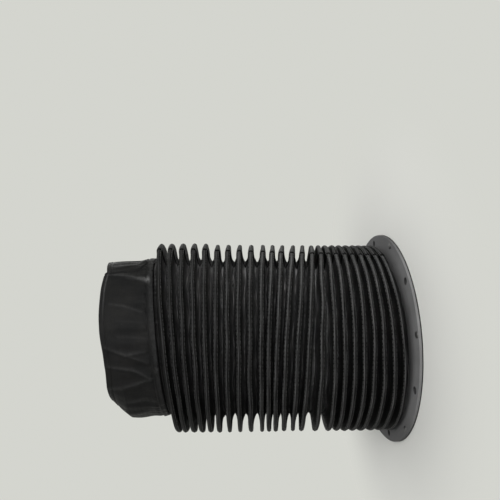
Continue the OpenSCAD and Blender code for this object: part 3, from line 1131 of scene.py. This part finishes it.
def coated_cloth(name, level, rub_and_highlight, gloss, shine, thread, grain_depth, lines):
    """level and the crest grey after it are the linear greys in the fold and on the crest line, gloss the
    roughness, shine the specular level, thread the weave's step, grain_depth the grain's height, and
    lines how much paler the stretched lines are. The crest line is rub and painted highlight together,
    and it is painted dimmer towards the cuff, shade for the light falling off there. The valleys are
    painted paler, dust and painted light together."""
    material, tree = new_finish(name)
    uv, place, deep = own(tree, "cloth"), own(tree, "place"), own(tree, "deep")
    lined = lines > 1
    dust = spread(tree, noise(tree, place, DUST_PATCHES, 4.0, 0.6), 0.35, 0.70, 0, 1)
    grain = noise(tree, uv, GRAINS, 3.0, 0.6)
    streak = noise(tree, add(tree, "Mapping", uv, Scale=(0.05, 1, 1)), STREAKS, 3.0)
    # Painted shade: the crest line is dimmer higher up the tube, standing in for the light falling off
    # towards the cuff.
    wear_and_light = spread(tree, add(tree, "SeparateXYZ", place, out="Z"), CREST_DIM_FROM, CREST_DIM_TO, 1, 0)
    patchy = spread(tree, noise(tree, uv, WORN_PATCHES, 3.0, 0.65), 0.35, 0.60, 0.55, 1.0)
    crest_mark = calc(tree, "MULTIPLY", own(tree, "crest"), patchy)
    body = blended(tree, dust, grey(level, -0.02), grey(level * 1.5, 0.02))
    # The valleys are painted paler by depth: dust and painted light together.
    body = scaled(tree, body, spread(tree, deep, 0.35, DEEPEST, 1, VALLEY_DUST_AND_LIGHT))
    body = scaled(tree, body, spread(tree, streak, 0.50, 0.68, 1 - 0.2 * lined, lines))
    crest_grey = blended(tree, wear_and_light, grey(rub_and_highlight * CREST_DIM_SHARE), grey(rub_and_highlight))
    # Creases in the valleys get a painted highlight, brighter the deeper they lie.
    crest_grey = scaled(tree, crest_grey, spread(tree, deep, 0.2, DEEPEST, 1, VALLEY_CREASE_HIGHLIGHT))
    crest_grey = scaled(tree, crest_grey, spread(tree, streak, 0.40, 0.62, 1 - 0.25 * lined, 1 + 0.2 * lined))
    flecks = spread(tree, grain, 0.66, 0.74, 0, min(FLECK_MOST, FLECK_LEVEL / rub_and_highlight))
    colour = blended(tree, flecks, blended(tree, crest_mark, body, crest_grey), crest_grey)
    normal = relief(tree, [(noise(tree, place, DENTS, 2.0), 0.0009, 0.35), (streak, 0.00030, 0.5),
                           (grain, grain_depth, 0.7), (weave_height(tree, uv, thread), 0.00008, 0.6)])
    # Along the lap's edge the colour is painted near black: a painted shadow.
    return finish_off(material, Normal=normal, Specular_IOR_Level=shine,
                      Base_Color=blended(tree, own(tree, "seam"), colour, grey(SEAM_SHADOW_GREY)),
                      Roughness=spread(tree, streak, 0.3, 0.7, gloss - 0.07, gloss + 0.09))


TUBE_CLOTH = coated_cloth("black coated cloth", 0.0052, 0.092, 0.62, 0.045, 0.0007, 0.00018, 3.0)
CUFF_CLOTH = coated_cloth("black cuff cloth", 0.0085, 0.300, 0.52, 0.05, 0.0008, 0.00022, 1)
FLANGE_CLOTH = coated_cloth("flange cloth", 0.011, 0.030, 0.60, 0.10, 0.0008, 0.00016, 1)
TAPE = coated_cloth("woven tape", 0.0085, 0.020, 0.60, 0.08, 0.0014, 0.00010, 1)

# %% [markdown]
# ## Thread, plate, wire and rivets
#
# The thread's plies show as slanting bands. The plate is moulded: fine grain, cloudy shade and a few
# scratches. Shade is painted in its bolt holes, and its edges are a little lighter, partly wear, partly
# a painted highlight. It is painted darker towards +X and -X, as in the photograph, as shade standing
# in for lobes that curl away from the light. The wires and rivets are plain metal with fine marks.

# %% Thread finish
PLY_STEP, PLY_SLANT, THREAD_LEVEL = 0.00035, radians(35), 0.011


def sewing_thread(name, level):
    """Twisted polyester thread: dark, with slanting plies across its length."""
    material, tree = new_finish(name)
    slant = add(tree, "Mapping", own(tree, "cloth"), Rotation=(0, 0, PLY_SLANT))
    plies = add(tree, "TexWave", slant, BANDS_PER_METRE / PLY_STEP, wave_type="BANDS",
                bands_direction="X", out="Fac")
    return finish_off(material, Roughness=0.55, Sheen_Weight=0.2,
                      Base_Color=blended(tree, plies, grey(level * 0.6), grey(level * 1.3)),
                      Normal=relief(tree, [(plies, 0.0001, 0.8)]))


THREAD = sewing_thread("polyester thread", THREAD_LEVEL)

# %% Plate finish
# The last grey is painted shade for the bolt holes; the edge grey is partly wear, partly painted
# highlight.
PLATE_DARK, PLATE_PALE, PLATE_EDGE, PLATE_SCRATCH, HOLE_SHADE = 0.158, 0.210, 0.19, 0.21, 0.050
ASIDE_FROM, ASIDE_TO, ASIDE_SHARE = 0.065, 0.098, 0.55
CLOUDS, PLATE_GRAINS, SCRATCHES = 34, 900, 160  # to a metre


def bolt_hole_shade(tree, place):
    """1 in the bolt holes and 0 outside, from the distance to the hole that is nearest in angle."""
    flat = add(tree, "VectorMath", place, (1, 1, 0), operation="MULTIPLY")
    parts = add(tree, "SeparateXYZ", flat).node.outputs
    shifted = calc(tree, "ADD", calc(tree, "ARCTAN2", parts["Y"], parts["X"]), pi / BOLTS)
    near = calc(tree, "SNAP", shifted, tau / BOLTS)
    hole = add(tree, "VectorRotate", (BOLT_CIRCLE_R, 0, 0), Angle=near, rotation_type="Z_AXIS")
    away = add(tree, "VectorMath", flat, hole, operation="DISTANCE", out="Value")
    return spread(tree, away, BOLT_HOLE_R * 1.02, BOLT_HOLE_R * 1.25, 1, 0)


def grey_plate(name):
    """Stiff moulded plate: cloudy shade, fine grain and scratches, and edges a little lighter."""
    material, tree = new_finish(name)
    place = own(tree, "place")
    cloud = noise(tree, place, CLOUDS, 5.0, 0.6)
    grain = noise(tree, place, PLATE_GRAINS, 2.0)
    stretch = add(tree, "Mapping", place, Scale=(1, 7, 1), Rotation=(0, 0, 0.6))
    scratch = noise(tree, stretch, SCRATCHES, 6.0, 0.75)
    wear_and_light = add(tree, "NewGeometry", out="Pointiness")
    aside = calc(tree, "ABSOLUTE", add(tree, "SeparateXYZ", place))
    base = blended(tree, spread(tree, cloud, 0.35, 0.68, 0, 1), grey(PLATE_DARK), grey(PLATE_PALE))
    # Edges a little lighter: partly wear, partly a painted highlight.
    base = blended(tree, spread(tree, wear_and_light, 0.52, 0.60, 0, 0.5), base, grey(PLATE_EDGE))
    base = blended(tree, spread(tree, scratch, 0.62, 0.68, 0, 0.35), base, grey(PLATE_SCRATCH))
    # Painted shade: darker towards +X and -X, standing in for lobes that curl away from the light.
    base = scaled(tree, base, spread(tree, aside, ASIDE_FROM, ASIDE_TO, 1, ASIDE_SHARE))
    # Painted shade in the bolt holes.
    base = blended(tree, bolt_hole_shade(tree, place), base, grey(HOLE_SHADE))
    normal = relief(tree, [(cloud, 0.0004, 0.3), (scratch, 0.0001, 0.25), (grain, 0.00010, 0.5)])
    return finish_off(material, Base_Color=base, Normal=normal, Specular_IOR_Level=0.12,
                      Roughness=spread(tree, cloud, 0.3, 0.7, 0.70, 0.84))


PLATE = grey_plate("grey moulded plate")

# %% Wire and rivet finishes
def bright_metal(name, level, gloss, scale):
    """Drawn or pressed metal: fine marks and a slightly uneven gloss."""
    material, tree = new_finish(name)
    place = own(tree, "place")
    marks = noise(tree, place, scale, 4.0, 0.6)
    shade = spread(tree, marks, 0.35, 0.65, 0, 1)
    return finish_off(material, Metallic=1.0,
                      Base_Color=blended(tree, shade, grey(level * 0.75), grey(level)),
                      Roughness=spread(tree, marks, 0.3, 0.7, gloss - 0.08, gloss + 0.12),
                      Normal=relief(tree, [(noise(tree, place, scale * 5, 2.0), 0.00006, 0.4)]))


SPRING_WIRE = bright_metal("drawn spring wire", 0.42, 0.34, 350)
RIVET_METAL = bright_metal("dull rivet metal", 0.13, 0.52, 500)

# %% [markdown]
# ## Dressing the pieces
#
# A new piece gets its finish as its only material. A CAD node keeps its material slots, and each of
# them gets the better material.

# %% Dress the pieces
def dress(piece, finish):
    """Gives a piece one finish, in all its material slots or in a new one."""
    materials = piece.data.materials
    if not materials:
        materials.append(finish)
    for number in range(len(materials)):
        materials[number] = finish


wires = [node for name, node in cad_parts.items() if name.startswith("support_ring_")]
outfits = [(TUBE_CLOTH, [cloth[0] for cloth in (foot, *pleats, neck)]), (THREAD, threads),
           (CUFF_CLOTH, [cuff]), (TAPE, [band]), (FLANGE_CLOTH, [gasket]), (SPRING_WIRE, wires),
           (PLATE, [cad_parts["flange_plate"]]), (RIVET_METAL, [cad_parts["flange_rivets"]])]
for finish, pieces in outfits:
    for piece in pieces:
        dress(piece, finish)
    print(finish.name, "on", len(pieces))

# %% [markdown]
# ## How the pieces move
#
# The cuff and the band are attached to the cuff's body, and the soft flange to the flange's. The
# pleats, their stitches and the two ends of the tube only have their placement baked into their
# points. Each new piece hides the CAD node that it stands in for.


def bend_between(piece):
    """Bakes a piece's placement into its points."""
    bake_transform(piece)


def stand_in(node):
    """Hides a CAD node, in whose place a new piece shows."""
    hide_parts(node)


for k, (pleat, surface, _) in enumerate(pleats):
    for piece in (pleat, threads[k]):
        bend_between(piece)
bend_between(foot[0])
bend_between(neck[0])
for cloth in [*pleats, foot, neck]:
    stand_in("bellows_skin")

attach(cuff, "cuff_end")
stand_in("cuff_sleeve")
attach(band, "cuff_end")
stand_in("neck_band")
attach(gasket, "flange_end")
stand_in("fabric_flange")
